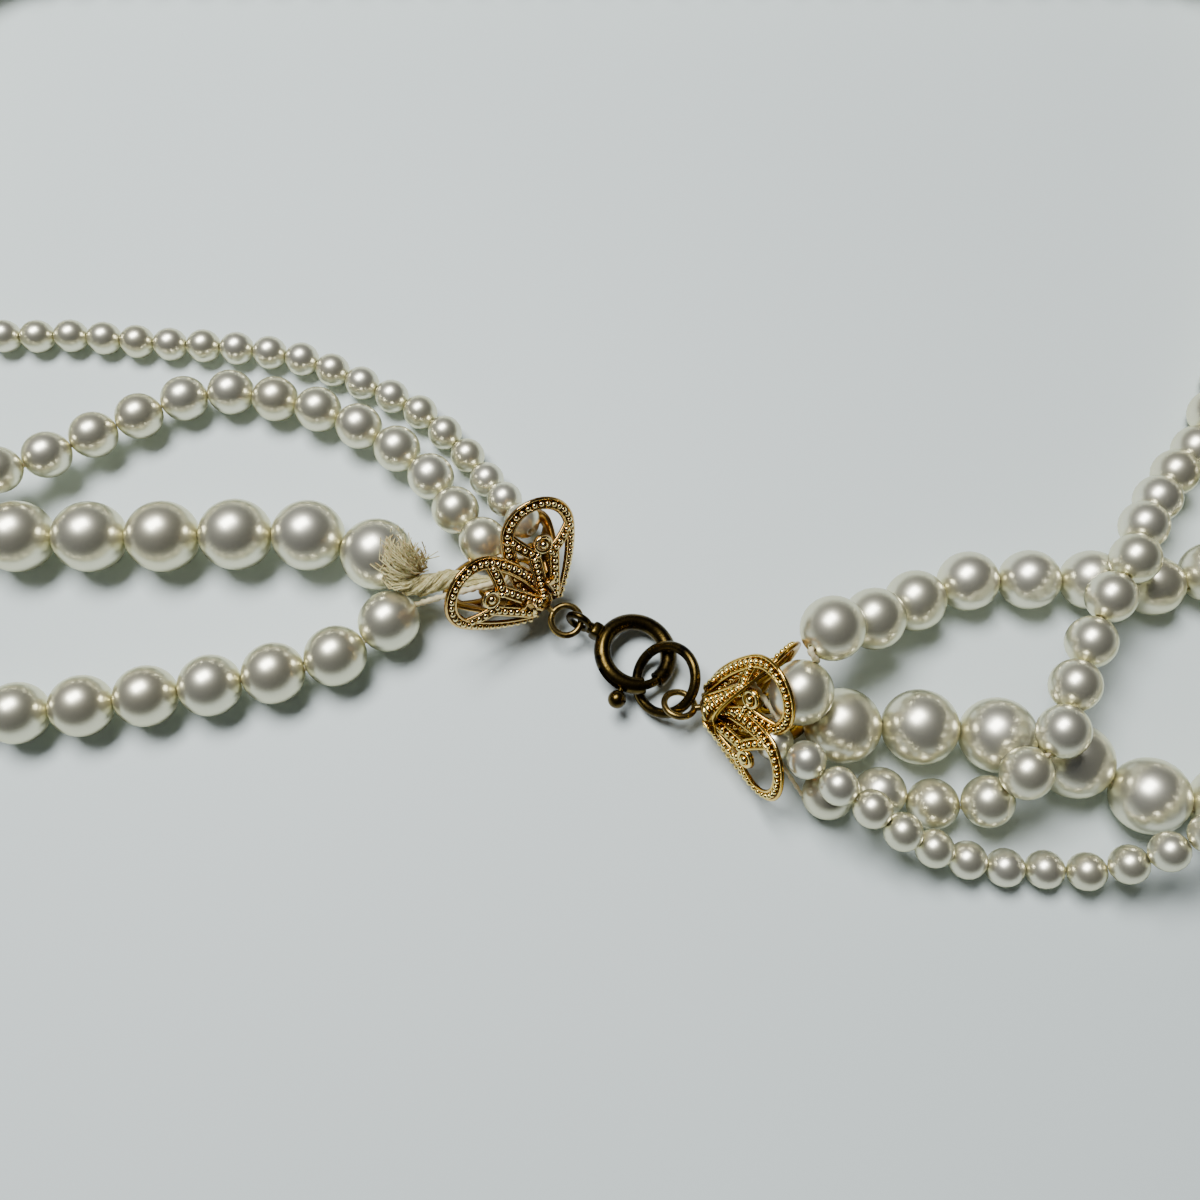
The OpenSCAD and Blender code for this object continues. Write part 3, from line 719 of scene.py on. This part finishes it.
def layRod(points, radius, lift, flatten=1.0, closed=False):
    # A rod along a flat line of points, as vertices of x, y, height and as faces
    deselectAll()
    bpy.ops.curve.primitive_bezier_curve_add()
    rod = bpy.context.object
    rod.data.splines.clear()
    rod.data.dimensions = "3D"
    rod.data.bevel_depth = radius
    rod.data.bevel_resolution = 1
    rod.data.use_fill_caps = True
    spline = rod.data.splines.new("POLY")
    spline.points.add(len(points) - 1)
    for point, (x, y) in zip(spline.points, points):
        point.co = (x, y, 0, 1)
    spline.use_cyclic_u = closed
    takeUp(rod)
    bpy.ops.object.convert(target="MESH")
    verts, faces = takeShape(bpy.context.object)
    return [Vector((v.x, v.y, v.z * flatten + lift)) for v in verts], faces


def modelBall(radius, segments, rings):
    deselectAll()
    bpy.ops.mesh.primitive_uv_sphere_add(segments=segments, ring_count=rings, radius=radius)
    return takeShape(bpy.context.object)


def modelFlatPetal():
    # One petal before it is pressed: vertices of x, y, height, their relief, and faces
    size = petalShape
    shares = [k / 8 for k in range(9)]
    vRise = size["vEnds"] - size["vFoot"]
    arm = [(size["vFoot"] + vRise * u ** size["vCurl"], size["vSpread"] * u) for u in shares]
    stemX, stemY = size["stemFrom"]
    stemRise = size["vFoot"] - size["stemShort"]
    stem = [(stemX + stemRise * u, stemY + size["stemSpread"] * u) for u in shares]
    rails = [petalEdge(size["railInset"]), arm, mirrored(arm), stem, mirrored(stem)]
    verts, relief, faces = [], [], []

    def keep(shape, sides, low, high):
        # adds a shape whose relief runs from low at its foot to high at its top; low relief is
        # painted dark, as tarnish and painted shade
        start = len(verts)
        heights = [v.z for v in shape]
        bottom, span = min(heights), max(max(heights) - min(heights), 1e-6)
        verts.extend(shape)
        relief.extend(low + (high - low) * (h - bottom) / span for h in heights)
        faces.extend([[i + start for i in side] for side in sides])

    ball, ballSides = modelBall(size["bead"], 8, 5)
    for line in rails:
        # a flat band, bright inside and painted dark between the two wires and the beads on it, as
        # tarnish and painted shade
        keep(*layRod(line, size["band"], size["bandLift"], flatten=size["bandFlat"]), 0.6, 0.2)
        # the wires and beads are painted darker at their foot, as tarnish and painted shade, and
        # bright on top where rubbed
        for offset in (size["edgeAt"], -size["edgeAt"]):
            keep(*layRod(beside(line, offset), size["edgeWire"], size["edgeLift"]), 0.2, 0.75)
        spaced = evenSteps([(x, y, 0) for x, y in line], size["beadPitch"])
        for at in spaced[1:-1]:
            middle = Vector((at.x, at.y, size["beadLift"]))
            keep([v + middle for v in ball], ballSides, 0.35, 1.0)
    # the scroll ring in the V, with a ball in it, and the foot that joins it to the stems
    scrollAt = size["vFoot"] + size["scroll"] + size["scrollGap"]
    turns = [math.tau * k / 20 for k in range(20)]
    ring = [(scrollAt + size["scroll"] * math.cos(turn), size["scroll"] * math.sin(turn))
            for turn in turns]
    keep(*layRod(ring, size["scrollBand"], size["scrollBandLift"],
                 flatten=size["scrollBandFlat"], closed=True), 0.6, 0.3)
    keep(*layRod(ring, size["scrollWire"], size["scrollLift"], closed=True), 0.35, 0.95)
    ball, ballSides = modelBall(size["ball"], 12, 8)
    keep([v + Vector((scrollAt, 0, size["ballLift"])) for v in ball], ballSides, 0.3, 1.0)
    foot = [(size["vFoot"] - size["footShort"], 0), (scrollAt - size["scroll"], 0)]
    keep(*layRod(foot, size["band"], size["bandLift"], flatten=size["footFlat"]), 0.6, 0.35)
    return verts, relief, faces


def modelBoss():
    # The cup that the petals spring from, open for the pin
    size = capBoss
    deselectAll()
    bpy.ops.mesh.primitive_uv_sphere_add(segments=28, ring_count=14, radius=size["radius"])
    boss = bpy.context.object
    bpy.ops.object.mode_set(mode="EDIT")
    bpy.ops.mesh.select_all(action="SELECT")
    bpy.ops.mesh.bisect(plane_co=(0, 0, size["to"]), plane_no=(0, 0, 1), clear_outer=True)
    bpy.ops.mesh.select_all(action="SELECT")
    bpy.ops.mesh.bisect(plane_co=(0, 0, size["from"]), plane_no=(0, 0, 1), clear_inner=True)
    bpy.ops.object.mode_set(mode="OBJECT")
    takeUp(boss)
    wall = boss.modifiers.new("wall", "SOLIDIFY")
    wall.thickness = size["wall"]
    bpy.ops.object.modifier_apply(modifier=wall.name)
    shape, sides = takeShape(boss)
    return [v + Vector((0, 0, size["at"])) for v in shape], sides


flatPetal = modelFlatPetal()
bossShape = modelBoss()


def pressCap(name, cap, node, material):
    # Four copies of the petal, pressed and bent round the boss
    flat, flatRelief, flatFaces = flatPetal
    pressed = [onCone(v.x, v.y, v.z) for v in flat]
    onAxis = capPlace(cap)
    verts, relief, faces = [], [], []
    for k in range(4):
        turn = (onAxis @ Matrix.Rotation(math.radians(cap["turn"][2] + cap["around"][k]), 4, "Z")
                @ Matrix.Rotation(math.radians(cap["spread"][k] - 90), 4, "Y")
                @ Matrix.Rotation(math.radians(180 + cap["twist"][k]), 4, "X"))
        start = len(verts)
        verts += [(turn @ v) * mm for v in pressed]
        relief += flatRelief
        faces += [[i + start for i in face] for face in flatFaces]
    shape, sides = bossShape
    start = len(verts)
    verts += [(onAxis @ v) * mm for v in shape]
    relief += [0.5] * len(shape)
    faces += [[i + start for i in side] for side in sides]
    piece = meshPiece(name, verts, faces, relief=relief)
    return finishPiece(piece, name, material, stands=(node,))


pressCap("pierced_cap_left", leftCap, "left_cap", wornGiltMaterial)
pressCap("pierced_cap_right", rightCap, "right_cap", giltMaterial)
print("bead caps are pressed")

jumpRing = {"at": (5.33, -37.56, 2.01), "lean": (34.3, -168.5), "cut": 118,
            "diameter": 6.4, "wire": 0.9, "skin": 0.02, "spin": 358.2}


def leaning(at, lean, turned):
    # Places a ring that was made flat: tilted by lean towards its heading, its X turned that far
    tilt, heading = (math.radians(v) for v in lean)
    return (Matrix.Translation(Vector(at)) @ Matrix.Rotation(heading, 4, "Z")
            @ Matrix.Rotation(tilt, 4, "Y")
            @ Matrix.Rotation(math.radians(turned) - heading, 4, "Z"))


def bendJumpRing():
    # A ring of wire bent to a circle, its cut ends nearly meeting
    size = jumpRing
    middle = (size["diameter"] - size["wire"]) / 2
    deselectAll()
    bpy.ops.mesh.primitive_circle_add(vertices=18, radius=size["wire"] / 2 - size["skin"],
                                      fill_type="NGON", location=(middle, 0, 0),
                                      rotation=(math.pi / 2, 0, 0))
    ring = bpy.context.object
    bpy.ops.object.transform_apply(location=True, rotation=True, scale=True)
    bpy.ops.object.mode_set(mode="EDIT")
    bpy.ops.mesh.select_all(action="SELECT")
    bpy.ops.mesh.bevel(offset=0.07, segments=2, affect="EDGES")
    bpy.ops.mesh.select_all(action="SELECT")
    bpy.ops.mesh.spin(steps=72, angle=math.radians(size["spin"]), center=(0, 0, 0),
                      axis=(0, 0, 1))
    bpy.ops.mesh.select_all(action="SELECT")
    bpy.ops.mesh.remove_doubles(threshold=1e-5)
    bpy.ops.mesh.normals_make_consistent(inside=False)
    bpy.ops.object.mode_set(mode="OBJECT")
    ring.data.transform(Matrix.Scale(mm, 4) @ leaning(size["at"], size["lean"], size["cut"]))
    takeUp(ring)
    bpy.ops.object.shade_smooth_by_angle(angle=math.radians(40))
    return finishPiece(ring, "cut_jump_ring", claspMaterial, stands=("jump_ring",))


springRing = {"at": (2.93, -35.25, 1.63), "lean": (12.9, 19), "eyelet": 152.3,
              "block": (0.95, 1.3, 1.3), "blockAt": 3.72}


def solderBlock():
    # The block that holds the eyelet, soldered against the ring
    size = springRing
    deselectAll()
    bpy.ops.mesh.primitive_cube_add(size=1, location=(size["blockAt"], 0, 0))
    block = bpy.context.object
    block.scale = size["block"]
    bpy.ops.object.transform_apply(location=True, rotation=True, scale=True)
    bpy.ops.object.mode_set(mode="EDIT")
    bpy.ops.mesh.select_all(action="SELECT")
    bpy.ops.mesh.bevel(offset=0.3, segments=3, affect="EDGES")
    bpy.ops.object.mode_set(mode="OBJECT")
    block.data.transform(Matrix.Scale(mm, 4) @ leaning(size["at"], size["lean"], size["eyelet"]))
    bpy.ops.object.shade_smooth_by_angle(angle=math.radians(40))
    return finishPiece(block, "solder_block", claspMaterial)


def polish(node, material):
    # A CAD node keeps its shape, with its triangles welded and smoothed up to the sharp edges
    made = nodes[node]
    made.data.materials.clear()
    made.data.materials.append(material)
    made.data.polygons.foreach_set("use_smooth", [True] * len(made.data.polygons))
    weld = made.modifiers.new("weld", "WELD")
    weld.merge_threshold = 1e-6
    crease = made.modifiers.new("crease", "EDGE_SPLIT")
    crease.split_angle = math.radians(35)


bendJumpRing()
solderBlock()
polish("spring_ring", claspMaterial)
polish("spring_gate", claspMaterial)
polish("left_eye_pin", wireMaterial)
polish("right_eye_pin", wireMaterial)
print("clasp is finished")

deselectAll()
bpy.ops.mesh.primitive_plane_add(size=studio["tableSize"] * mm,
                                 location=place(0, 0, -studio["tableDrop"]))
table = bpy.context.object
table.name = "table"
table.data.materials.append(coatedBoard())

print("the scene is ready")
